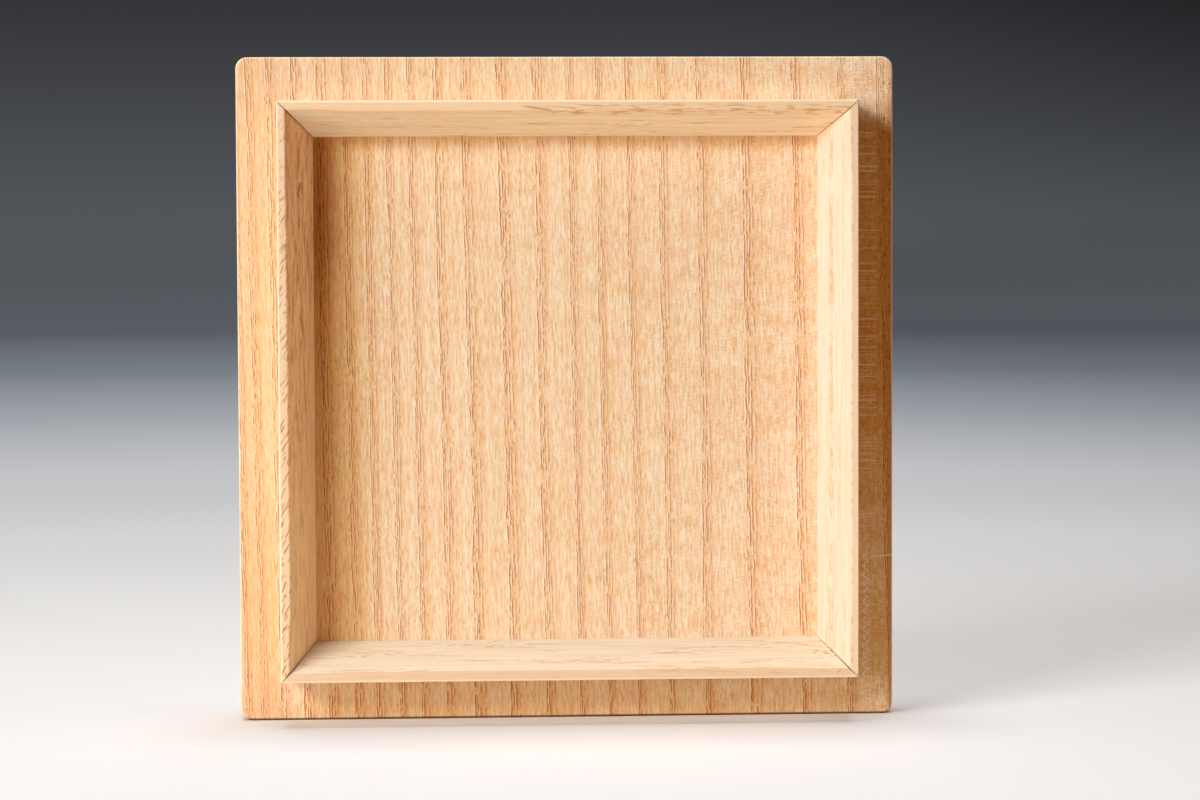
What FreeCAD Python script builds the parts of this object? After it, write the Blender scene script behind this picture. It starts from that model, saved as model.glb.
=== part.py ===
import FreeCAD, Part
import os

import Sketcher

# The lid of a small square storage box in paulownia wood, in millimetres.
# It stands on its bottom edge: X is its width, across the grain, and Z its height, along the grain.
# Its underside, with the frame of four battens that drops into the box, faces -Y.
# The origin is the middle of the foot of its bounding box.

SIZES = {
    # The board
    "board_width": 108.0,
    "board_height": 109.0,
    "board_thickness": 8.0,
    # Rounding of its four corners, and of its arrises on the outside and the inside
    "corner_radius": 1.9,
    "show_edge_radius": 0.8,
    "inner_edge_radius": 0.35,
    # The margin round the frame, where the rim of the box stands
    "side_margin": 6.9,
    "end_margin": 7.4,
    # Section of a batten: how far it stands off the board, its flat top and its inner bevel
    "batten_height": 10.0,
    "batten_flat": 1.5,
    "batten_bevel": 4.1,
    "batten_arris_radius": 0.25,
    # The hairline between two battens at a mitre, measured square to the cut
    "mitre_gap": 0.06,
    # How far a mitre cut runs past the wood
    "saw_overrun": 1.0,
}

# The board's inner face, where the battens are glued. It puts the lid's thickness evenly about Y = 0.
SEAT_Y = "(Sizes.batten_height - Sizes.board_thickness) / 2"

# The frame's outer width and height, and the width that a batten covers on the board
FRAME_WIDTH = "(Sizes.board_width - 2 * Sizes.side_margin)"
FRAME_HEIGHT = "(Sizes.board_height - 2 * Sizes.end_margin)"
BATTEN_FOOT = "(Sizes.batten_flat + Sizes.batten_bevel)"

# The battens in order round the frame: the node, its length, the middle of its outer face, its turn.
# Unturned, a batten lies along the bottom of the frame with its outer face down.
BATTENS = [
    ("bottom_batten", FRAME_WIDTH, "0", "Sizes.end_margin", 0),
    ("left_batten", FRAME_HEIGHT, f"-{FRAME_WIDTH} / 2", "Sizes.board_height / 2", 90),
    ("top_batten", FRAME_WIDTH, "0", "Sizes.board_height - Sizes.end_margin", 180),
    ("right_batten", FRAME_HEIGHT, f"{FRAME_WIDTH} / 2", "Sizes.board_height / 2", 270),
]

# A sketch's origin, and the two ends of a line in it
ORIGIN = (-1, 1)
START = 1
END = 2

# Edges and faces nearer than this to a plane lie on it
ON_PLANE = 1e-4


def add_sheet(doc):
    """The driving dimensions, one to a row."""
    sheet = doc.addObject("Spreadsheet::Sheet", "Sizes")
    for row, (alias, value) in enumerate(SIZES.items(), start=1):
        sheet.set(f"A{row}", alias)
        sheet.set(f"B{row}", str(value))
        sheet.setAlias(f"B{row}", alias)
    doc.recompute()


def origin_plane(body, role):
    """One of the body's own three planes."""
    return next(item for item in body.Origin.OriginFeatures if item.Role == role)


def add_sketch(body, name, role, corners):
    """A sketch on an origin plane, with a closed outline whose line number i starts at corner i."""
    sketch = body.newObject("Sketcher::SketchObject", name)
    sketch.AttachmentSupport = (origin_plane(body, role), [""])
    sketch.MapMode = "FlatFace"
    points = [FreeCAD.Vector(across, up, 0) for across, up in corners]
    for start, end in zip(points, points[1:] + points[:1]):
        sketch.addGeometry(Part.LineSegment(start, end))
    for line in range(len(points)):
        following = (line + 1) % len(points)
        sketch.addConstraint(Sketcher.Constraint("Coincident", line, END, following, START))
    return sketch


def constrain(sketch, kind, *places):
    """A constraint with no value, such as Horizontal."""
    sketch.addConstraint(Sketcher.Constraint(kind, *places))


def dimension(sketch, name, kind, first, second, expression):
    """A named distance between two points of a sketch, bound to the sheet."""
    start = sketch.getPoint(*first)
    end = sketch.getPoint(*second)
    drawn = end.x - start.x if kind == "DistanceX" else end.y - start.y
    number = sketch.addConstraint(Sketcher.Constraint(kind, *first, *second, drawn))
    sketch.renameConstraint(number, name)
    sketch.setExpression(f"Constraints.{name}", expression)


def edges_where(shape, wanted):
    """The names of the edges whose bounding box passes the test."""
    return [f"Edge{n}" for n, edge in enumerate(shape.Edges, start=1) if wanted(edge.BoundBox)]


def round_edges(doc, body, name, base, wanted, radius):
    """A fillet of one radius on the edges of base that pass the test."""
    fillet = body.newObject("PartDesign::Fillet", name)
    fillet.Base = (base, edges_where(base.Shape, wanted))
    fillet.setExpression("Radius", radius)
    doc.recompute()
    return fillet


def place(body, across, up, turn):
    """Stand the body against the seat, turned about Y."""
    body.Placement.Rotation = FreeCAD.Rotation(FreeCAD.Vector(0, 1, 0), turn)
    body.setExpression("Placement.Base.x", across)
    body.setExpression("Placement.Base.y", SEAT_Y)
    body.setExpression("Placement.Base.z", up)


def make_board(doc):
    """The square board, padded from its inner face and then rounded as it is sanded."""
    half_width = SIZES["board_width"] / 2
    height = SIZES["board_height"]
    thickness = SIZES["board_thickness"]

    body = doc.addObject("PartDesign::Body", "lid_board")
    corners = [(-half_width, 0), (half_width, 0), (half_width, height), (-half_width, height)]
    outline = add_sketch(body, "board_outline", "XZ_Plane", corners)
    foot, right, top, left = range(4)
    for level in (foot, top):
        constrain(outline, "Horizontal", level)
    for upright in (right, left):
        constrain(outline, "Vertical", upright)
    constrain(outline, "Symmetric", foot, START, foot, END, *ORIGIN)
    dimension(outline, "width", "DistanceX", (foot, START), (foot, END), "Sizes.board_width")
    dimension(outline, "height", "DistanceY", (right, START), (right, END), "Sizes.board_height")

    blank = body.newObject("PartDesign::Pad", "board_blank")
    blank.Profile = outline
    blank.Reversed = True
    blank.setExpression("Length", "Sizes.board_thickness")
    doc.recompute()

    def at_a_corner(box):
        return box.YLength > thickness / 2

    def on_the_show_face(box):
        return box.YMin > thickness - ON_PLANE

    def on_the_inner_face(box):
        return box.YMax < ON_PLANE

    rounded = round_edges(doc, body, "corners", blank, at_a_corner, "Sizes.corner_radius")
    shown = round_edges(doc, body, "show_edge", rounded, on_the_show_face, "Sizes.show_edge_radius")
    round_edges(doc, body, "inner_edge", shown, on_the_inner_face, "Sizes.inner_edge_radius")
    place(body, "0", "0", 0)
    return body


def draw_section(body):
    """The batten's section: outer face on the left, flat top, bevel down to the board."""
    height = SIZES["batten_height"]
    flat = SIZES["batten_flat"]
    foot = flat + SIZES["batten_bevel"]

    corners = [(0, 0), (-height, 0), (-height, flat), (0, foot)]
    section = add_sketch(body, "section", "YZ_Plane", corners)
    outer_face, flat_top, bevel, glued_face = range(4)
    constrain(section, "Coincident", outer_face, START, *ORIGIN)
    constrain(section, "Horizontal", outer_face)
    constrain(section, "Vertical", flat_top)
    constrain(section, "Vertical", glued_face)
    dimension(section, "height", "DistanceX", (outer_face, END), ORIGIN, "Sizes.batten_height")
    dimension(section, "flat", "DistanceY", (flat_top, START), (flat_top, END), "Sizes.batten_flat")
    dimension(section, "bevel", "DistanceY", (bevel, START), (bevel, END), "Sizes.batten_bevel")
    return section


def draw_mitre(body, strip, length):
    """The waste beyond the strip's 45 degree cut, which starts at its outer face."""
    overrun = SIZES["saw_overrun"]
    leg = SIZES["batten_flat"] + SIZES["batten_bevel"] + 2 * overrun
    reach = strip.Length.Value / 2 + overrun

    corners = [(reach, -overrun), (reach, leg - overrun), (reach - leg, leg - overrun)]
    waste = add_sketch(body, "mitre_waste", "XZ_Plane", corners)
    upright, level, cut = range(3)
    constrain(waste, "Vertical", upright)
    constrain(waste, "Horizontal", level)
    constrain(waste, "Equal", upright, level)
    tip = f"{length} / 2 - Sizes.mitre_gap / sqrt(2)"
    dimension(waste, "reach", "DistanceX", ORIGIN, (cut, END), f"{tip} + Sizes.saw_overrun")
    dimension(waste, "overrun", "DistanceY", (cut, END), ORIGIN, "Sizes.saw_overrun")
    leg_length = f"{BATTEN_FOOT} + 2 * Sizes.saw_overrun"
    dimension(waste, "leg", "DistanceY", (upright, START), (upright, END), leg_length)
    return waste


def make_batten(doc, node, length, across, up, turn):
    """A strip of moulding with soft arrises, mitred at both ends."""
    top_level = -SIZES["batten_height"]

    body = doc.addObject("PartDesign::Body", node)
    strip = body.newObject("PartDesign::Pad", "strip")
    strip.Profile = draw_section(body)
    strip.SideType = "Symmetric"
    strip.setExpression("Length", length)
    doc.recompute()

    def along_the_top(box):
        return box.XLength > strip.Length.Value / 2 and box.YMax < top_level + ON_PLANE

    eased = round_edges(doc, body, "arrises", strip, along_the_top, "Sizes.batten_arris_radius")

    mitre = body.newObject("PartDesign::Pocket", "mitre")
    mitre.Profile = draw_mitre(body, strip, length)
    mitre.Type = "ThroughAll"
    mitre.SideType = "Symmetric"
    doc.recompute()

    other = body.newObject("PartDesign::Mirrored", "other_mitre")
    other.Originals = [mitre]
    other.MirrorPlane = (origin_plane(body, "YZ_Plane"), [""])
    body.Tip = other
    doc.recompute()
    if not other.Shape.Volume < mitre.Shape.Volume < eased.Shape.Volume:
        raise RuntimeError(f"{node} isn't mitred at both ends")

    place(body, across, up, turn)
    return body


def check(doc, bodies):
    """Stop before anything is written if a feature or a solid is bad."""
    for item in doc.Objects:
        if "Invalid" in item.State or "Error" in item.State:
            raise RuntimeError(f"{item.Name} failed")
        if item.TypeId == "Sketcher::SketchObject" and not item.FullyConstrained:
            raise RuntimeError(f"{item.Name} isn't fully constrained")
    for body in bodies:
        shape = body.Shape
        if shape.isNull() or not shape.isValid() or len(shape.Solids) != 1:
            raise RuntimeError(f"{body.Label} isn't one sound solid")


def main():
    doc = FreeCAD.newDocument("box_lid")
    add_sheet(doc)
    bodies = [make_board(doc)]
    for batten in BATTENS:
        bodies.append(make_batten(doc, *batten))
    doc.recompute()
    check(doc, bodies)

    os.makedirs("parts", exist_ok=True)
    for body in bodies:
        body.Shape.exportStep(f"parts/{body.Label}.step")
        box = body.Shape.BoundBox
        low = f"{box.XMin:.2f} {box.YMin:.2f} {box.ZMin:.2f}"
        high = f"{box.XMax:.2f} {box.YMax:.2f} {box.ZMax:.2f}"
        print(f"{body.Label}: {body.Shape.Volume:.1f} mm3, from {low} to {high}")


main()
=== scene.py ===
import math

import bmesh
import bpy
from mathutils import Matrix, Vector, noise


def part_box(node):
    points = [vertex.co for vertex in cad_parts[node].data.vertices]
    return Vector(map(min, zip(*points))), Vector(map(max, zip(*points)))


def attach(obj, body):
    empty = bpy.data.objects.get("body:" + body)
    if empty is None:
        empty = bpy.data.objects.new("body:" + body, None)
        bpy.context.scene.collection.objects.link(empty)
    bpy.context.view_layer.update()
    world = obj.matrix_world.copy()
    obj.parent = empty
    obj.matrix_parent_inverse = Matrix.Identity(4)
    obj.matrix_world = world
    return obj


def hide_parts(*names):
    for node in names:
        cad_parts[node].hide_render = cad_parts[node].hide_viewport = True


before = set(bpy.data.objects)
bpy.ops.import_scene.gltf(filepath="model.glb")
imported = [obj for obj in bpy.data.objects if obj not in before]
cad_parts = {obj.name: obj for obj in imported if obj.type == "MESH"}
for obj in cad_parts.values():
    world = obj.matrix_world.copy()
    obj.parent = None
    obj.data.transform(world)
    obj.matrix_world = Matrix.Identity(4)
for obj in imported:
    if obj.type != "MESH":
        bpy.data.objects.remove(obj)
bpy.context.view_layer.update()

# The lid stands on its bottom edge at the origin: X across the grain, Z up along it, and the
# underside with its frame of four battens faces -Y. Lengths are in metres.
MM = 0.001
TINY = 0.01 * MM

# The board's edges, as they are eased
CORNER_RADIUS = 1.9 * MM
SHOW_EDGE_RADIUS = 0.8 * MM
INNER_EDGE_RADIUS = 0.35 * MM

# Section of a batten: its flat top, and the foot that it covers on the board
BATTEN_FLAT = 1.5 * MM
BATTEN_FOOT = 5.6 * MM
BATTEN_ARRIS = 0.25 * MM

# A batten is cut into short lengths, so that its flat can widen and its arris waver. From the
# mitre the flat takes the second distance to reach the batten's own width, and the third is how
# long a bend of the arris is.
BATTEN_STEP = 0.8 * MM
FLAT_EASE = 8.0 * MM
WAVER_LENGTH = 2.2 * MM

# The CAD's battens end this far short of the corner of the frame
CAD_SHORTFALL = 0.0424 * MM

# Each batten: the width of its flat near its start and its end, how far its arris wavers, and the
# gaps left at its two mitres. A batten starts at its left end, seen from the middle of the frame.
BATTENS = {
    "bottom_batten": (1.6 * MM, 1.6 * MM, 0.03 * MM, 0.015 * MM, 0.02 * MM),
    "left_batten": (1.38 * MM, 1.78 * MM, 0.18 * MM, 0.02 * MM, 0.015 * MM),
    "top_batten": (1.6 * MM, 1.75 * MM, 0.04 * MM, 0.01 * MM, 0.02 * MM),
    "right_batten": (1.2 * MM, 1.2 * MM, 0.04 * MM, 0.02 * MM, 0.01 * MM),
}
CORNER_FLAT = 1.45 * MM

# The battens stand this far apart round the frame, in degrees
QUARTER_TURN = 90

# Where two faces meet at more than this, the edge between them shades as a sharp one
SHARP = math.radians(40)

# Places that the materials read, in millimetres: half the board's width, half the frame's outer
# width, half the hollow's width and a tenth to spare, the height of the frame's middle, and the
# battens' top in Y
BOARD_HALF = 54.0
FRAME_HALF = 47.1
HOLLOW_HALF = 41.6
FRAME_MIDDLE = 54.5
BATTEN_TOP = -9.0


class Value:
    """A socket of a shader, which adds Math nodes when it is used in an expression."""

    def __init__(self, shader, socket):
        self.shader = shader
        self.socket = socket

    def out(self, name):
        """Another output of the same node."""
        return Value(self.shader, self.socket.node.outputs[name])

    def __add__(self, other):
        return self.shader.math("ADD", self, other)

    def __sub__(self, other):
        return self.shader.math("SUBTRACT", self, other)

    def __rsub__(self, other):
        return self.shader.math("SUBTRACT", other, self)

    def __mul__(self, other):
        return self.shader.math("MULTIPLY", self, other)

    def __truediv__(self, other):
        return self.shader.math("DIVIDE", self, other)

    __radd__ = __add__
    __rmul__ = __mul__


class Shader:
    """The nodes of one material or of the world."""

    def __init__(self, owner):
        owner.use_nodes = True
        self.tree = owner.node_tree
        self.tree.nodes.clear()

    def node(self, kind, settings=None, sockets=None, output=0):
        """Any node: its settings are set first, then its sockets get values or links."""
        made = self.tree.nodes.new(kind)
        for name, setting in (settings or {}).items():
            if name == "stops":
                self.set_stops(made.color_ramp, setting)
            else:
                setattr(made, name, setting)
        for name, given in (sockets or {}).items():
            if isinstance(given, Value):
                self.tree.links.new(given.socket, made.inputs[name])
            else:
                made.inputs[name].default_value = given
        return Value(self, made.outputs[output]) if made.outputs else None

    def set_stops(self, ramp, stops):
        """The places and colours of a ramp."""
        while len(ramp.elements) < len(stops):
            ramp.elements.new(1.0)
        for element, (position, color) in zip(ramp.elements, stops):
            element.position = position
            element.color = color

    def math(self, operation, first, second=0.0):
        """One Math node."""
        return self.node("ShaderNodeMath", {"operation": operation}, {0: first, 1: second})

    def size(self, value):
        """A value without its sign."""
        return self.math("ABSOLUTE", value)

    def larger(self, first, second):
        """The larger of two values."""
        return self.math("MAXIMUM", first, second)

    def fade(self, value, start, end):
        """0 at start, 1 at end, and smooth between them."""
        sockets = {"Value": value, "From Min": start, "From Max": end}
        return self.node("ShaderNodeMapRange", {"interpolation_type": "SMOOTHSTEP"}, sockets)

    def band(self, value, middle, half, soft):
        """1 within half of the middle, and 0 further off than that and the soft edge."""
        return self.fade(self.size(value - middle), half + soft, half)

    def mix(self, factor, first, second, blend="MIX"):
        """A mix of two colours."""
        settings = {"data_type": "RGBA", "blend_type": blend}
        return self.node("ShaderNodeMix", settings, {0: factor, 6: first, 7: second}, 2)

    def place(self):
        """The three coordinates of the point on the piece, in millimetres."""
        point = self.node("ShaderNodeTexCoord", output="Object")
        sockets = {"Vector": point, "Scale": 1.0 / MM}
        scaled = self.node("ShaderNodeVectorMath", {"operation": "SCALE"}, sockets)
        x = self.node("ShaderNodeSeparateXYZ", sockets={0: scaled})
        return x, x.out("Y"), x.out("Z")

    def vector(self, x, y, z):
        """A vector from three values."""
        return self.node("ShaderNodeCombineXYZ", sockets={0: x, 1: y, 2: z})

    def grain(self, x, y, z, detail=2.0, roughness=0.5):
        """Noise from 0 to 1 at a point that is already scaled to the grain."""
        sockets = {"Vector": self.vector(x, y, z), "Scale": 1.0}
        sockets["Detail"] = detail
        sockets["Roughness"] = roughness
        return self.node("ShaderNodeTexNoise", {"noise_dimensions": "3D"}, sockets)

    def slits(self, across, depth, along):
        """1 inside many scattered slits, at a point that is already scaled to them."""
        sockets = {"Vector": self.vector(across, depth, along), "Scale": 1.0}
        cells = self.node("ShaderNodeTexVoronoi", {"feature": "F1"}, sockets)
        return self.fade(cells.out("Distance"), 0.36, 0.16)


def linear(red, green, blue):
    """A display colour from 0 to 255 as a shader's colour."""

    def channel(level):
        share = level / 255
        return share / 12.92 if share <= 0.04045 else ((share + 0.055) / 1.055) ** 2.4

    return (channel(red), channel(green), channel(blue), 1.0)


BLACK = (0.0, 0.0, 0.0, 1.0)

# The board's wood
PALE_WOOD = linear(247, 224, 190)
TAN_WOOD = linear(239, 203, 159)
ROSE_WOOD = linear(244, 207, 175)
AMBER_WOOD = linear(230, 170, 106)
CREAM_WOOD = linear(252, 240, 218)
GOLDEN_WOOD = linear(247, 190, 134)

# Its pores, the glow beside a row of them, a russet tone for its right edge, a painted contact
# shadow beside the left batten, and soot, which also paints the shade at its foot
PORE = linear(166, 78, 6)
RING_GLOW = linear(228, 152, 70)
RUSSET = linear(196, 112, 54)
CONTACT_SHADOW = linear(140, 92, 54)
SOOT_AND_FOOT_SHADE = linear(70, 34, 8)

# Painted shade where the frame keeps the light off, which multiplies the wood's own colour:
# honey-toned, browned, and dusky in a nook
HONEY_SHADE = (0.93, 0.65, 0.12, 1.0)
BROWN_SHADE = (0.72, 0.43, 0.09, 1.0)
DUSK_SHADE = (0.7, 0.62, 0.6, 1.0)

# The battens' fibres, the lower half of the left one, the streaks of the top one, and a mitre
BATTEN_CREAM = linear(255, 240, 214)
LEFT_LOWER_WOOD = linear(255, 220, 172)
ROUGH_STREAK = linear(214, 146, 82)
GREY_STREAK = linear(150, 122, 104)
MITRE_BROWN = linear(130, 70, 22)

# Each batten's pale and tan wood, its pores, and the planed flat on its top, as display colours.
# They stand in their order round the frame, a quarter turn apart.
# Their tones are partly each piece's own wood and partly painted light and shade, set to how the
# light falls on each batten: the top one is paler for the light on its bevel
BATTEN_TONES = {
    "bottom_batten": [(255, 241, 219), (250, 230, 200), (202, 130, 48), (228, 184, 140)],
    "left_batten": [(252, 213, 162), (242, 191, 134), (180, 88, 12), (246, 212, 174)],
    "top_batten": [(254, 236, 204), (249, 221, 182), (200, 134, 62), (244, 203, 158)],
    "right_batten": [(248, 217, 195), (243, 206, 178), (212, 160, 92), (248, 212, 176)],
}

# The rows of pores that follow a ring's first one: how far behind it, and how strong
LATER_ROWS = [(0.36, 0.9), (0.72, 0.8), (1.2, 0.55)]

# Steps between the noises of one ring and the next, one row of pores and the next, and one batten
# and the next
RING_SEED = 7.31
ROW_SEED = 31.0
BATTEN_SEED = 11.0


def smooth_step(share):
    """0 below 0, 1 above 1, and smooth between them."""
    share = min(1.0, max(0.0, share))
    return share * share * (3 - 2 * share)


def new_piece(name, bm, material):
    """A finished mesh at the origin: round edges shade smoothly, and flat faces stay flat."""
    bmesh.ops.recalc_face_normals(bm, faces=bm.faces)
    for face in bm.faces:
        face.smooth = True
    for edge in bm.edges:
        edge.smooth = len(edge.link_faces) != 2 or edge.calc_face_angle() < SHARP
    mesh = bpy.data.meshes.new(name)
    bm.to_mesh(mesh)
    bm.free()
    mesh.materials.append(material)
    piece = bpy.data.objects.new(name, mesh)
    bpy.context.scene.collection.objects.link(piece)
    weighted = piece.modifiers.new("flat faces", "WEIGHTED_NORMAL")
    weighted.keep_sharp = True
    return piece


def box_mesh(low, high):
    """A box between two corners."""
    bm = bmesh.new()
    bmesh.ops.create_cube(bm, size=1.0)
    bmesh.ops.scale(bm, vec=high - low, verts=bm.verts)
    bmesh.ops.translate(bm, vec=(low + high) / 2, verts=bm.verts)
    return bm


def round_over(bm, edges, radius, segments):
    """Round some edges."""
    bmesh.ops.bevel(
        bm,
        geom=edges,
        offset=radius,
        offset_type="OFFSET",
        affect="EDGES",
        segments=segments,
        profile=0.5,
        material=-1,
    )


def edges_at(bm, test):
    """The edges whose two ends pass the test."""
    return [edge for edge in bm.edges if all(test(vert.co) for vert in edge.verts)]


def make_board(material):
    """The square board: four rounded corners, a soft show edge and a crisper inner one."""
    low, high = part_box("lid_board")
    bm = box_mesh(low, high)
    through = [e for e in bm.edges if abs(e.verts[0].co.y - e.verts[1].co.y) > CORNER_RADIUS]
    round_over(bm, through, CORNER_RADIUS, segments=12)
    show = edges_at(bm, lambda co: co.y > high.y - TINY)
    round_over(bm, show, SHOW_EDGE_RADIUS, segments=5)
    inner = edges_at(bm, lambda co: co.y < low.y + TINY)
    round_over(bm, inner, INNER_EDGE_RADIUS, segments=4)
    return new_piece("board", bm, material)


def cut(bm, point, normal):
    """Saw off everything on the normal's side of a plane, and close the end."""
    everything = bm.verts[:] + bm.edges[:] + bm.faces[:]
    result = bmesh.ops.bisect_plane(
        bm, geom=everything, plane_co=point, plane_no=normal, clear_outer=True
    )
    rim = [item for item in result["geom_cut"] if isinstance(item, bmesh.types.BMEdge)]
    bmesh.ops.contextual_create(bm, geom=rim)


def slice_across(bm, length):
    """Cut the strip into short lengths without parting it."""
    steps = int(length / BATTEN_STEP)
    for step in range(1, steps):
        everything = bm.verts[:] + bm.edges[:] + bm.faces[:]
        place = length * (step / steps - 0.5)
        bmesh.ops.bisect_plane(bm, geom=everything, plane_co=(place, 0, 0), plane_no=(1, 0, 0))


def shape_flat(bm, node, half, height):
    """Give the flat its own width along the strip, and let its arris waver."""
    at_start, at_end, waver, start_gap, end_gap = BATTENS[node]
    seed = len(node)
    for vert in bm.verts:
        level = -vert.co.y / height
        inward = min(1.0, vert.co.z / BATTEN_FLAT)
        along = vert.co.x
        own = at_start + (at_end - at_start) * (along / half + 1) / 2
        own += noise.noise(Vector((along / WAVER_LENGTH, seed, 0))) * waver
        past_mitre = smooth_step((half - BATTEN_FOOT - abs(along)) / FLAT_EASE)
        width = CORNER_FLAT + (own - CORNER_FLAT) * past_mitre
        shift = (width - BATTEN_FLAT) * inward * level
        tip = half - (start_gap if along < 0 else end_gap)
        vert.co.z += shift
        if abs(abs(along) + vert.co.z - shift - tip) < TINY:
            vert.co.x -= math.copysign(shift, along)


def make_batten(node, turn, material):
    """A mitred strip of moulding: an upright outer face, a narrow flat top and a bevel.

    It is made along X with its outer face down, then turned about Y and set in its place.
    """
    low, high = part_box(node)
    length = max(high.x - low.x, high.z - low.z)
    height = high.y - low.y
    half = length / 2 + CAD_SHORTFALL
    start_gap, end_gap = BATTENS[node][3:]

    bm = box_mesh(Vector((-half, -height, 0)), Vector((half, 0, BATTEN_FOOT)))
    bevel_normal = Vector((0, BATTEN_FLAT - BATTEN_FOOT, height)).normalized()
    cut(bm, Vector((0, -height, BATTEN_FLAT)), bevel_normal)
    top = edges_at(bm, lambda co: co.y < TINY - height)
    lengthways = [e for e in top if abs(e.verts[0].co.x - e.verts[1].co.x) > half]
    round_over(bm, lengthways, BATTEN_ARRIS, segments=3)
    cut(bm, Vector((start_gap - half, 0, 0)), Vector((-1, 0, 1)).normalized())
    cut(bm, Vector((half - end_gap, 0, 0)), Vector((1, 0, 1)).normalized())
    slice_across(bm, length)
    shape_flat(bm, node, half, height)

    middle = (low + high) / 2
    seats = {
        "bottom_batten": Vector((middle.x, high.y, low.z)),
        "left_batten": Vector((low.x, high.y, middle.z)),
        "top_batten": Vector((middle.x, high.y, high.z)),
        "right_batten": Vector((high.x, high.y, middle.z)),
    }
    turned = Matrix.Rotation(math.radians(turn), 3, "Y")
    bmesh.ops.rotate(bm, cent=(0, 0, 0), matrix=turned, verts=bm.verts)
    bmesh.ops.translate(bm, vec=seats[node], verts=bm.verts)
    return new_piece(node.replace("batten", "strip"), bm, material)


def finish_wood(shader, material, color, height):
    """Bare planed wood: a dull surface with the grain just felt in it."""
    sockets = {"Strength": 0.6, "Distance": 0.15 * MM, "Height": height}
    normal = shader.node("ShaderNodeBump", sockets=sockets)
    sockets = {"Base Color": color, "Roughness": 0.66, "Specular IOR Level": 0.1, "Normal": normal}
    wood = shader.node("ShaderNodeBsdfPrincipled", sockets=sockets)
    shader.node("ShaderNodeOutputMaterial", sockets={"Surface": wood})
    return material


def pore_line(shader, off_ring, place, seed):
    """A fine line of pores that runs along a ring and comes and goes, with its pale rim and glow."""
    _, y, z = place
    waver = shader.grain(seed, y / 2.5, z / 1.6, detail=3.0, roughness=0.6) - 0.5
    sway = shader.grain(seed + 17.0, y / 2.5, z / 9, detail=1.0) - 0.5
    off = off_ring + waver * 0.45 + sway * 0.5
    breaks = shader.grain(seed + 5.5, y / 0.3, z / 2.4, detail=4.0, roughness=0.6)
    dashes = shader.fade(breaks, 0.42, 0.56)
    line = shader.band(off, 0.0, 0.0, 0.12) * dashes
    # The pale rim beside the line is partly a painted highlight on its raised edge
    rim = shader.band(off, -0.19, 0.0, 0.14) * dashes
    glow = shader.band(off, 0.1, 0.05, 0.3) * dashes
    return line, rim, glow


def pore_rows(shader, off_ring, place, own):
    """The rows of pores at each ring, with their rims and glows: each row has its own breaks."""
    line, rim, glow = pore_line(shader, off_ring, place, own)
    for step, (gap, strength) in enumerate(LATER_ROWS, start=1):
        seed = own + ROW_SEED * step
        next_line, next_rim, next_glow = pore_line(shader, off_ring - gap, place, seed)
        line = shader.larger(line, next_line * strength)
        rim = shader.larger(rim, next_rim * strength)
        glow = shader.larger(glow, next_glow * strength)

    # On the side edges, where a ring lies flat, its rows of pores would smear
    face = shader.fade(shader.size(place[0]), BOARD_HALF - 0.02, BOARD_HALF - 0.3)
    return line * face, rim * face, glow * face


def growth_rings(shader, place):
    """Quarter-sawn rings: a point's place across the grain, how far it is from the nearest ring,
    and a number that is the ring's own."""
    x, y, z = place

    # The grain leans a little and wanders
    lean, tilt, stray = 0.018, 0.12, 1.2
    wander = shader.grain(x / 16, y / 16, z / 60, detail=1.0) - 0.5
    across = x + z * lean + y * tilt + wander * stray

    # The rings stand closer on the left, where the tree was older
    left_spacing, widening, first = 3.05, 0.043, 1.34
    spacing = (across + BOARD_HALF) * widening + left_spacing
    ring = shader.math("LOGARITHM", spacing / left_spacing, math.e) / widening - first

    # A few years of slow growth come round in turn
    pace, start, swing = 0.84, 1.87, 0.22
    ring = ring - shader.math("SINE", ring * pace - start) * swing

    nearest = shader.math("ROUND", ring)
    own = nearest * RING_SEED
    jitter = shader.grain(own, 3.7, 0.0, detail=0.0) - 0.5
    return across, (ring - nearest) * spacing + jitter * 0.8, own


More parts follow.
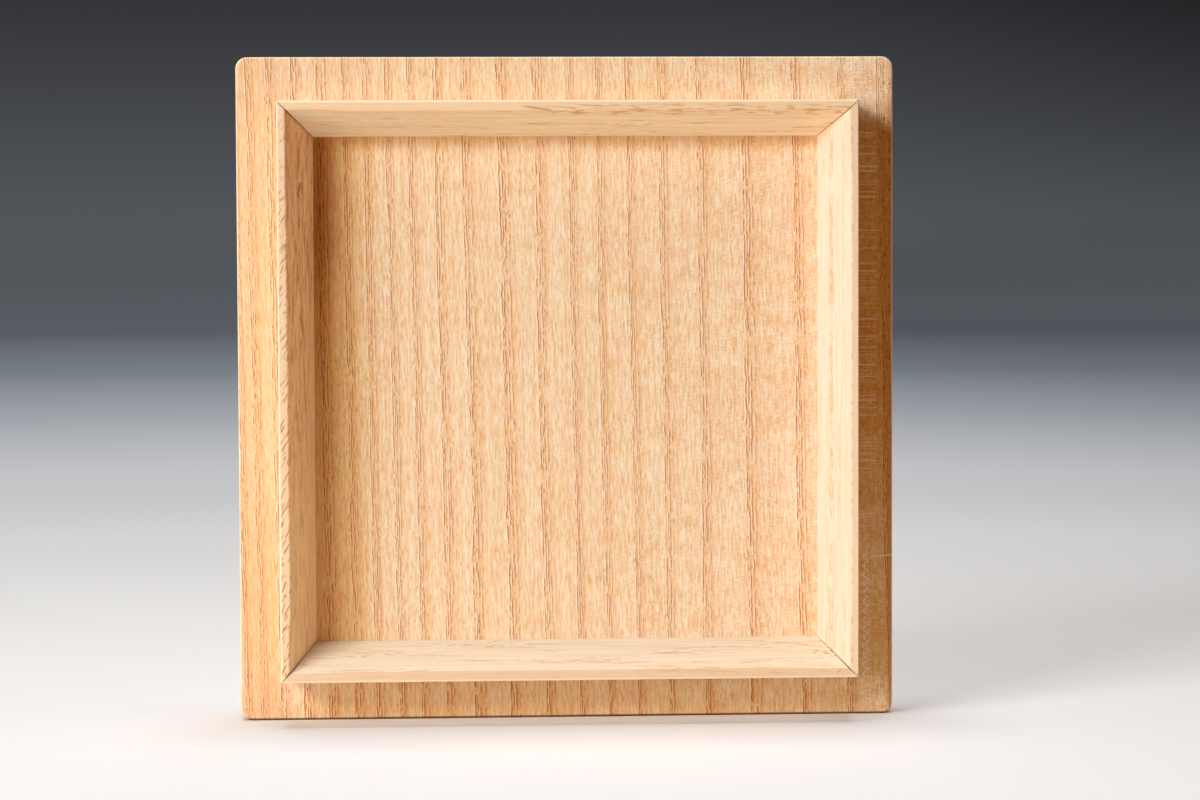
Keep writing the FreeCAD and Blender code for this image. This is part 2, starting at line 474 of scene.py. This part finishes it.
def painted_shade_places(shader, place):
    """Where painted shade tones the inner face honey and brown: on the right margin, beside and
    below the battens and towards the foot, and the left margin browner low down.
    """
    x, _, z = place
    # The right margin below the slanting edge of the right batten's shadow, the hollow of the frame
    # on the left, and the bottom margin under the bottom batten
    margin = shader.fade(x, 46.6, 47.4) * shader.fade(z + (x - 47.0) * 0.25, 101.2, 97.4)
    hollow = shader.fade(x, -46.0, -44.0) * shader.band(z, FRAME_MIDDLE, HOLLOW_HALF, 0.8)
    below = shader.fade(z, 8.2, 6.6) * shader.fade(x, -46.0, -36.0)

    # Painted shade in honey: beside the left batten, over the right margin, and under the bottom
    # batten
    honey_shade = shader.fade(x, -29.0, -37.0) * hollow * 0.45
    honey_shade = shader.larger(honey_shade, margin * shader.fade(z, -2.0, 8.0) * 0.5)
    honey_shade = shader.larger(honey_shade, below * 0.15)

    # Painted shade in brown: the right batten's shadow on the right margin, mottled and deeper
    # higher up, the left batten's beside it, the top batten's below it, and the bottom batten's on
    # the bottom margin, darker towards the foot
    mottle = shader.grain(x / 0.9, 4.0, z / 0.6, detail=3.0) * 1.2 + 0.4
    rising = shader.fade(z, 6.0, 14.0) * 0.16 + shader.fade(z, 20.0, 60.0) * 0.66
    right = margin * rising * mottle
    left = shader.fade(x, -35.0, -41.0) * hollow * (shader.fade(z, 30.0, 75.0) * 0.55 + 0.25)
    top = shader.fade(z, 93.0, 95.8) * shader.fade(z, 100.0, 98.0) * 0.5
    top = top * shader.band(x, 0.0, HOLLOW_HALF, 0.8)
    foot = shader.fade(z, 7.8, 6.8) * 0.1 + shader.fade(z, 5.0, 0.6) * 0.22
    foot = foot * shader.fade(x, -46.0, -40.0) * shader.fade(x, 56.0, 46.0)
    # The left margin outside the frame is browner low down
    outer_left = shader.fade(x, -46.6, -47.3) * shader.fade(z, 42.0, 22.0) * 0.16

    brown_shade = right
    for strip in (left, top, foot, outer_left):
        brown_shade = shader.larger(brown_shade, strip)
    return honey_shade, brown_shade


def fine_lines(shader, across, place):
    """Faint broken lines along the grain, closer together than the rings."""
    _, y, z = place
    spacing = 0.62
    waver = shader.grain(across / 2.5, y / 2.5, z / 5, detail=3.0) * 2.2
    phase = shader.math("FRACT", across / spacing + waver)
    breaks = shader.grain(across / 0.9, y / 0.9, z / 3.0, detail=4.0, roughness=0.6)
    return shader.band(phase, 0.5, 0.0, 0.24) * shader.fade(breaks, 0.44, 0.6)


def stray_pores(shader, across, off_ring, own, place):
    """Scattered pores between the rings, and more of them just behind one."""
    x, y, z = place
    slits = shader.slits(across / 0.26, y / 0.26, (z + own) / 1.4)
    anywhere = shader.fade(shader.grain(x / 3, y / 3, z / 9), 0.45, 0.62)
    return slits * (anywhere * 0.45 + shader.band(off_ring, 0.5, 0.7, 0.5) * 0.35)


def margin_marks(shader, place):
    """Pale marks on the right margin: rays across the grain, a tool's chatter and a scratch."""
    x, _, z = place
    rays = shader.fade(shader.grain(2.0, 3.0, z / 0.42, detail=1.0), 0.53, 0.61)
    rays = rays * shader.fade(shader.grain(5.0, 3.0, z / 5.0, detail=1.0), 0.4, 0.5)
    rays = rays * shader.fade(x, 47.0, 47.2) * shader.fade(x, 51.6, 51.2)
    rays = rays * shader.fade(z, 101.0, 99.0)

    pace, depth = 2.1, 0.85
    scallop = shader.size(shader.math("SINE", z * pace)) * depth
    bow = shader.grain(3.0, 1.0, z / 1.1, detail=3.0)
    chatter = shader.band(x + scallop - bow, 49.5, 0.09, 0.16) * shader.band(z, 16.5, 10.0, 1.0)
    chatter = chatter * shader.fade(shader.grain(x / 0.5, 1.0, z / 0.6), 0.34, 0.46)

    slope = 0.08
    scratch = shader.band(z - x * slope, 22.2, 0.04, 0.12) * shader.fade(x, 50.0, 50.6)
    return rays * 0.7, shader.larger(chatter, scratch * 0.8)


def soot_dots(shader, place):
    """Two broken rows of dots down the right edge of the inner face, fewer of them below."""
    x, _, z = place
    rows = shader.larger(shader.band(x, 52.6, 0.12, 0.14), shader.band(x, 53.45, 0.1, 0.12))
    breaks = shader.fade(shader.grain(x / 0.4, 1.0, z / 0.7), 0.56, 0.64)
    return rows * breaks * (shader.fade(z, 20.0, 60.0) * 0.6 + 0.2)


def clean_board(shader, place, across, fibres):
    """The board's wood between its rings: streaks, clouds, fine fibres, and rays across them."""
    x, y, z = place
    streak, fine, ray, rays_here = fibres
    cloud = shader.grain(x / 7, y / 7, z / 14)
    patch = shader.grain(x / 6 + 9.0, y / 6, z / 3, detail=2.0)

    color = shader.mix(shader.fade(streak, 0.3, 0.7), TAN_WOOD, PALE_WOOD)
    color = shader.mix(shader.fade(cloud, 0.42, 0.66) * 0.5, color, ROSE_WOOD)
    color = shader.mix(shader.fade(patch, 0.46, 0.7) * rays_here * 0.3, color, AMBER_WOOD)
    color = shader.mix(shader.fade(patch, 0.52, 0.32) * rays_here * 0.35, color, CREAM_WOOD)
    color = shader.mix(shader.fade(fine, 0.5, 0.66) * 0.65, color, AMBER_WOOD)
    color = shader.mix(shader.fade(fine, 0.48, 0.34) * 0.75, color, CREAM_WOOD)
    color = shader.mix(fine_lines(shader, across, place) * 0.5, color, AMBER_WOOD)
    color = shader.mix(shader.fade(ray, 0.52, 0.68) * rays_here * 0.45, color, AMBER_WOOD)
    return shader.mix(shader.fade(ray, 0.48, 0.32) * rays_here * 0.45, color, CREAM_WOOD)


def board_with_painted_shade(shader, place, inside, color):
    """The inner face with painted shade on it: honey-toned and browned where the frame shades it, a
    russet right edge, painted dusky shade in the upper left corner in the frame, and a painted
    contact shadow as a dark line outside the left batten."""
    x, _, z = place
    honey_shade, brown_shade = painted_shade_places(shader, place)
    color = shader.mix(honey_shade * inside, color, HONEY_SHADE, "MULTIPLY")
    color = shader.mix(brown_shade * inside, color, BROWN_SHADE, "MULTIPLY")
    color = shader.mix(shader.fade(x, 52.8, 53.5) * inside * 0.4, color, RUSSET)

    # Painted shade in the upper left corner inside the frame
    nook = shader.fade(x, -35.5, -39.5) * shader.fade(x, -46.0, -44.0)
    nook = nook * shader.fade(z, 66.0, 82.0) * shader.fade(z, 97.0, 95.0)
    color = shader.mix(nook * inside * 0.8, color, DUSK_SHADE, "MULTIPLY")

    # A painted contact shadow: a thin dark line just outside the left batten
    outside_batten = -FRAME_HALF - 0.32
    beside = shader.band(x, outside_batten, 0.06, 0.08)
    beside = beside * shader.band(z, FRAME_MIDDLE, FRAME_HALF, 0.2)
    return shader.mix(beside * inside * 0.7, color, CONTACT_SHADOW)


def board_wood():
    """Quarter-sawn wood: rows of pores at each ring, and rays that fleck it to the right."""
    material = bpy.data.materials.new("board wood")
    shader = Shader(material)
    place = shader.place()
    x, y, z = place
    across, off_ring, own = growth_rings(shader, place)
    line, rim, glow = pore_rows(shader, off_ring, place, own)
    pore = stray_pores(shader, across, off_ring, own, place)
    bars, scrapes = margin_marks(shader, place)

    streak = shader.grain(across / 0.6, y / 0.6, z / 18, detail=3.0)
    fine = shader.grain(across / 0.33, y / 0.33, z / 2.4, detail=3.0, roughness=0.65)
    ray = shader.grain(x / 1.1 + 40.0, y / 1.1, z / 0.2, detail=2.0, roughness=0.6)
    rays_here = shader.fade(x, -25.0, 50.0) * 0.85 + shader.fade(x, 46.0, 47.5) * 0.5 + 0.15
    late = shader.fade(off_ring, 2.8, 0.4) * shader.fade(off_ring, -0.5, 0.3)

    # Painted shade and marks are on the inner face only, and below the frame the rings glow more,
    # warmed there as part of the painted shade
    inside = shader.fade(y, 5.0, 1.4)
    below = shader.fade(z, 8.2, 7.0) * shader.fade(x, -46.0, -40.0) * inside

    color = clean_board(shader, place, across, (streak, fine, ray, rays_here))
    color = shader.mix(late * 0.3, color, AMBER_WOOD)
    color = shader.mix(shader.fade(x, -44.0, -50.0) * 0.35, color, GOLDEN_WOOD)
    color = shader.mix(glow * (below * 0.45 + 0.28), color, RING_GLOW)
    color = shader.mix(rim * 0.85, color, CREAM_WOOD)
    color = shader.mix(pore * 0.6, color, PORE)
    color = shader.mix(line * 0.85, color, PORE)
    color = board_with_painted_shade(shader, place, inside, color)
    color = shader.mix(bars * inside, color, TAN_WOOD)
    color = shader.mix(scrapes * inside, color, PALE_WOOD)
    color = shader.mix(soot_dots(shader, place) * inside * 0.85, color, SOOT_AND_FOOT_SHADE)

    # The arris round the inner face is paler, partly sanded and partly a painted highlight, except
    # at the foot, where a dark line is painted shade as a contact shadow
    arris = shader.fade(y, 1.02, 1.14) * shader.fade(y, 1.7, 1.4) * shader.fade(z, 0.5, 1.2)
    color = shader.mix(arris * 0.6, color, CREAM_WOOD)
    color = shader.mix(shader.fade(z, 0.5, 0.2) * 0.85, color, SOOT_AND_FOOT_SHADE)

    height = streak * 0.2 + fine * 0.25 + rim * 0.08 - pore * 0.08 - line * 0.04
    height = height + scrapes * inside * 0.3 + ray * rays_here * 0.2
    return finish_wood(shader, material, color, height)


def leaning_flecks(shader, x, z):
    """Short strokes that lean across a narrow flat, in clusters with plain wood between them."""
    cosine, sine = 0.88, 0.47
    across = x * cosine - z * sine
    along = x * sine + z * cosine
    strokes = shader.fade(shader.grain(across / 0.36, 3.0, along / 2.2, detail=1.0), 0.53, 0.62)
    clusters = shader.fade(shader.grain(x / 2.0, 5.0, z / 2.4), 0.3, 0.44)
    return strokes * clusters * (shader.fade(z, 60.0, 20.0) * 0.25 + 0.75)


def torn_grain(shader, place):
    """Torn streaks along the left batten's bevel: strongest above, faint by the board below."""
    x, y, z = place
    torn = shader.grain(x / 0.6, y / 0.8, z / 4.5, detail=4.0, roughness=0.6)
    patches = shader.fade(shader.grain(x / 1.6, y / 1.6, z / 12), 0.34, 0.54)
    torn = shader.fade(torn, 0.46, 0.66) * (patches * 0.7 + 0.3)
    torn = torn * shader.fade(x, -46.9, -46.6) * (shader.fade(z, 25.0, 75.0) * 0.5 + 0.5)
    return torn * (1 - shader.fade(y, -3.5, 0.0) * shader.fade(z, 80.0, 66.0) * 0.8)


def left_marks(shader, place, flat, to_mitre):
    """Leaning flecks on the left batten's flat, and torn grain, a flaw and a stain in its bevel."""
    x, _, z = place
    bevel = 1 - flat
    flecks = leaning_flecks(shader, x, z) * flat * shader.fade(x, -46.95, -46.7)
    torn = torn_grain(shader, place) * bevel * 0.9

    # The flaw is a short dark hook
    bend = shader.size(z - 86.6) * 0.22
    flaw = shader.band(x - bend, -43.8, 0.06, 0.12) * shader.band(z, 87.2, 1.1, 0.5)
    stain = shader.fade(to_mitre, 1.2, 0.1) * bevel * 0.35
    mark = shader.larger(shader.larger(flecks, torn), flaw * bevel * 1.3)
    return shader.larger(mark, stain)


def top_marks(shader, place, flat):
    """Rough streaks along the right half of the top batten's inner arris, and one grey one."""
    x, _, z = place
    level = z + (shader.grain(x / 7, 2.0, 0.0) - 0.5) * 1.2
    rough = shader.fade(shader.grain(x / 3.2, 1.0, level / 0.3, detail=3.0), 0.5, 0.62)
    rough = rough * shader.band(level, 100.1, 0.6, 0.5) * shader.fade(x, -10.0, 2.0)
    slope = 0.14
    grey = shader.band(z + x * slope, 99.6, 0.05, 0.2) * shader.band(x, -5.0, 1.4, 1.4)
    return rough, grey * flat


def right_marks(shader, place):
    """A long broken streak down the right batten's bevel, and fine pores along its inner arris."""
    x, _, z = place
    streak = shader.band(x, 43.3, 0.1, 0.3) * shader.fade(shader.grain(1.0, 8.0, z / 7), 0.36, 0.56)
    streak = streak * shader.fade(shader.grain(x / 0.2, 6.0, z / 1.8, detail=3.0), 0.4, 0.6)
    pores = shader.band(x, 46.0, 0.05, 0.2) * shader.fade(shader.grain(2.0, 8.0, z / 1.6), 0.48, 0.6)
    return shader.larger(streak, pores * 0.7)


def bottom_marks(shader, place, flat):
    """A few short pores by the bottom batten's right mitre, and a nick across its flat."""
    x, _, z = place
    pores = shader.fade(shader.grain(x / 1.6, 1.0, z / 0.22, detail=3.0), 0.52, 0.62)
    pores = pores * shader.band(x, 42.0, 1.6, 1.0) * shader.band(z, 10.8, 0.3, 0.3)
    slope = 0.85
    nick = shader.band(z - x * slope, -28.84, 0.04, 0.1) * shader.band(x, 43.93, 0.3, 0.1)
    return shader.larger(pores, nick * flat)


def from_outer_face(side, x, z):
    """How far a point is from the outer face of its batten."""
    low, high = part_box(f"{side}_batten")
    if side == "bottom":
        return z - low.z / MM
    if side == "left":
        return x - low.x / MM
    if side == "top":
        return high.z / MM - z
    return high.x / MM - x


def clean_batten(shader, across, y, along, tones, seed):
    """A batten's wood before its marks, as a colour and a height: long streaks, fine fibres and
    short pores."""
    pale, tan, dark = tones
    wander = shader.grain(across / 6, y / 6, along / 20 + seed, detail=1.0) - 0.5
    across = across + wander * 0.8
    streak = shader.grain(across / 0.5, y / 0.7, along / 16 + seed, detail=3.0)
    fine = shader.grain(across / 0.22, y / 0.3, along / 3 + seed, detail=3.0, roughness=0.6)
    slits = shader.slits(across / 0.26, y / 0.4, along / 2.4)
    here = shader.fade(shader.grain(across / 1.2, y / 1.6, along / 22 - seed), 0.52, 0.64)
    lines = shader.grain(across / 0.24, y / 0.4, along / 5 - seed, detail=2.0)
    pore = shader.larger(slits, shader.fade(lines, 0.54, 0.64)) * here

    color = shader.mix(shader.fade(streak, 0.35, 0.65), tan, pale)
    color = shader.mix(shader.fade(fine, 0.52, 0.72) * 0.45, color, tan)
    color = shader.mix(shader.fade(fine, 0.48, 0.3) * 0.45, color, BATTEN_CREAM)
    color = shader.mix(pore * 0.5, color, dark)
    return color, streak * 0.25 + fine * 0.25 - pore * 0.1


def batten_wood(side, tones, seed):
    """Paler wood with long grain along the batten, and the marks of this one."""
    material = bpy.data.materials.new(f"{side} batten wood")
    shader = Shader(material)
    place = shader.place()
    x, y, z = place
    upright = side in ("left", "right")
    across, along = (x, z) if upright else (z, x)
    from_middle = z - FRAME_MIDDLE if upright else x
    outer_face = from_outer_face(side, x, z)
    to_mitre = FRAME_HALF - shader.size(from_middle) - outer_face
    flat = shader.fade(y, BATTEN_TOP + 0.4, BATTEN_TOP + 0.1)
    pale, tan, dark, planed = tones

    color, height = clean_batten(shader, across, y, along, (pale, tan, dark), seed)
    if side == "left":
        color = shader.mix(shader.fade(z, 68.0, 30.0) * 0.5, color, LEFT_LOWER_WOOD)
    color = shader.mix(flat * 0.7, color, planed)

    # The outer arris is paler, partly worn and partly a painted highlight, and the hairline at a
    # mitre is brown
    arris = shader.fade(outer_face, 0.45, 0.2) * shader.fade(y, BATTEN_TOP + 0.5, BATTEN_TOP + 0.25)
    color = shader.mix(arris * 0.65, color, BATTEN_CREAM)
    breaks = shader.fade(shader.grain(x / 1.5, y, z / 1.5), 0.3, 0.5)
    hairline = shader.fade(to_mitre, 0.14, 0.03) * breaks
    color = shader.mix(hairline * 0.6, color, MITRE_BROWN)

    if side == "top":
        rough, grey = top_marks(shader, place, flat)
        color = shader.mix(rough * 0.65, color, ROUGH_STREAK)
        color = shader.mix(grey * 0.6, color, GREY_STREAK)
        return finish_wood(shader, material, color, height - rough * 0.3)
    if side == "left":
        mark = left_marks(shader, place, flat, to_mitre)
    elif side == "right":
        mark = right_marks(shader, place)
    else:
        mark = bottom_marks(shader, place, flat)
    color = shader.mix(mark * 0.7, color, dark)
    return finish_wood(shader, material, color, height - mark * 0.12)


def make_lid():
    """The board and its four battens, each in its own cut of wood."""
    board = make_board(board_wood())
    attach(board, "root")
    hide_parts("lid_board")

    for step, (node, wood_tones) in enumerate(BATTEN_TONES.items()):
        side = node.split("_")[0]
        wood = batten_wood(side, [linear(*tone) for tone in wood_tones], BATTEN_SEED * step)
        batten = make_batten(node, QUARTER_TURN * step, wood)
        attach(batten, "root")
        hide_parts(node)


# The paper that the lid stands on is nearly white near it and falls off to slate. The distances
# are from the lid, in metres.
FLOOR_HALF = 8.0
FLOOR_REACH = 4.0
FLOOR_TONES = [
    (0.0, linear(245, 245, 247)),
    (0.16, linear(240, 240, 239)),
    (0.35, linear(226, 226, 227)),
    (0.48, linear(204, 204, 206)),
    (0.66, linear(187, 188, 192)),
    (0.91, linear(158, 163, 169)),
    (1.30, linear(121, 127, 135)),
    (1.94, linear(89, 93, 99)),
    (FLOOR_REACH, linear(82, 86, 91)),
]
BACKDROP_TONES = [
    (0.0, linear(82, 86, 91)),
    (0.15, linear(77, 80, 85)),
    (0.45, linear(65, 67, 70)),
    (0.75, linear(52, 53, 56)),
    (1.0, linear(46, 47, 50)),
]
BACKDROP_TOP = 0.08

# The paper turns from lit to glowing with its own tone between the first two distances. Its bounce
# onto the lid dies away between the next two, and it darkens to the right between the last two.
UNLIT = (0.26, 0.6)
BOUNCE_FALL = (0.12, 0.4)
RIGHT_SHADE = (0.06, 0.4)

# The lamps are aimed at the middle of the lid: a key from the front left, a low light further left,
# a big box overhead, and two fills. Each has its place, its width and height, and how brightly it
# lights a white card.
LID_MIDDLE = Vector((0.0, 0.0, 0.054))
LAMPS = {
    "key": ((-0.650, -0.697, 0.450), 0.44, 0.26, 0.66),
    "low light": ((-1.006, -0.654, 0.12), 0.5, 0.2, 0.36),
    "overhead": ((0.0, 0.14, 2.2), 0.9, 0.9, 0.66),
    "right fill": ((1.47, -0.31, 0.26), 0.6, 0.4, 0.08),
    "back fill": ((0.46, 1.53, 0.18), 0.6, 0.2, 0.22),
}

# The camera's place, the way it looks and its upright, and its lens and sensor in millimetres
CAMERA_PLACE = Vector((-26.08, -574.93, 83.13)) * MM
CAMERA_FORWARD = Vector((0.05457, 0.99711, -0.05293))
CAMERA_UP = Vector((0.00671, 0.05264, 0.99859))
LENS = 105.0
SENSOR_WIDTH = 36.0

# What the paper and the dark room beyond it throw back onto the lid
NEAR_BOUNCE = (0.90, 0.81, 0.70, 1.0)
FAR_BOUNCE = (0.10, 0.05, 0.02, 1.0)
ROOM_LIGHT = (0.045, 0.025, 0.014, 1.0)


def seen_rays(shader):
    """1 for the rays by which the camera sees a thing directly, in a gloss or through glass."""
    path = shader.node("ShaderNodeLightPath", output="Is Camera Ray")
    seen = shader.larger(path, path.out("Is Glossy Ray"))
    return shader.larger(seen, path.out("Is Transmission Ray"))


def make_floor():
    """A wide sheet under the lid, lit near it and seen at its own brightness further off."""
    bm = bmesh.new()
    bmesh.ops.create_grid(bm, x_segments=1, y_segments=1, size=FLOOR_HALF)
    material = bpy.data.materials.new("studio paper")
    shader = Shader(material)
    place = shader.node("ShaderNodeTexCoord", output="Object")
    distance = shader.node("ShaderNodeVectorMath", {"operation": "LENGTH"}, {0: place}, "Value")
    stops = [(reach / FLOOR_REACH, tone) for reach, tone in FLOOR_TONES]
    tone = shader.node("ShaderNodeValToRGB", {"stops": stops}, {0: distance / FLOOR_REACH})
    seen = seen_rays(shader)
    aside = shader.node("ShaderNodeSeparateXYZ", sockets={0: place})
    darker = shader.fade(aside, *RIGHT_SHADE) * (shader.fade(distance, 2.6, 1.7) * 0.12 + 0.1)
    tone = shader.mix(darker, tone, BLACK)
    far = shader.fade(distance, *UNLIT)
    bounce = shader.mix(shader.fade(distance, *BOUNCE_FALL), NEAR_BOUNCE, FAR_BOUNCE)
    lit = shader.mix(seen, bounce, shader.mix(far, tone, BLACK))
    glow = shader.mix(seen * far, BLACK, tone)
    sockets = {"Base Color": lit, "Roughness": 0.9, "Specular IOR Level": 0.0}
    sockets["Emission Color"] = glow
    sockets["Emission Strength"] = 1.0
    paper = shader.node("ShaderNodeBsdfPrincipled", sockets=sockets)
    shader.node("ShaderNodeOutputMaterial", sockets={"Surface": paper})

    mesh = bpy.data.meshes.new("floor")
    bm.to_mesh(mesh)
    bm.free()
    mesh.materials.append(material)
    floor = bpy.data.objects.new("floor", mesh)
    bpy.context.scene.collection.objects.link(floor)


def make_world():
    """Slate behind everything for the camera, and a faint warm light for the rest."""
    world = bpy.data.worlds.new("studio")
    bpy.context.scene.world = world
    shader = Shader(world)
    direction = shader.node("ShaderNodeTexCoord", output="Generated")
    aside = shader.node("ShaderNodeSeparateXYZ", sockets={0: direction})
    rise = aside.out("Z")
    backdrop = shader.node("ShaderNodeValToRGB", {"stops": BACKDROP_TONES}, {0: rise / BACKDROP_TOP})

    # It is darker to the right, and more so higher up
    darker = shader.fade(aside, 0.06, 0.3) * (shader.larger(rise, 0.0) * 8.0 + 0.2)
    backdrop = shader.mix(darker, backdrop, BLACK)
    light = shader.mix(seen_rays(shader), ROOM_LIGHT, backdrop)
    background = shader.node("ShaderNodeBackground", sockets={"Color": light, "Strength": 1.0})
    shader.node("ShaderNodeOutputWorld", sockets={"Surface": background})


def add_softbox(name, location, width, height, level):
    """A lamp aimed at the lid, which would light a white card that faces it to this level."""
    lamp = bpy.data.lights.new(name, "AREA")
    lamp.shape = "RECTANGLE"
    lamp.size = width
    lamp.size_y = height
    towards = Vector(location) - LID_MIDDLE
    lamp.energy = level * math.pi**2 * towards.length_squared
    softbox = bpy.data.objects.new(name, lamp)
    softbox.location = location
    softbox.rotation_mode = "QUATERNION"
    softbox.rotation_quaternion = towards.to_track_quat("Z", "Y")
    softbox.visible_camera = False
    bpy.context.scene.collection.objects.link(softbox)


def make_camera():
    """The photograph's view: a long lens, left of the lid's middle and lower than its top."""
    camera = bpy.data.cameras.new("camera")
    camera.sensor_width = SENSOR_WIDTH
    camera.lens = LENS
    holder = bpy.data.objects.new("camera", camera)
    right = CAMERA_FORWARD.cross(CAMERA_UP).normalized()
    up = right.cross(CAMERA_FORWARD)
    turned = Matrix((right, up, -CAMERA_FORWARD)).transposed().to_4x4()
    holder.matrix_world = Matrix.Translation(CAMERA_PLACE) @ turned
    bpy.context.scene.collection.objects.link(holder)
    bpy.context.scene.camera = holder


make_lid()
make_floor()
make_world()
for name, (location, width, height, level) in LAMPS.items():
    add_softbox(name, location, width, height, level)
make_camera()
bpy.context.scene.view_settings.view_transform = "Standard"
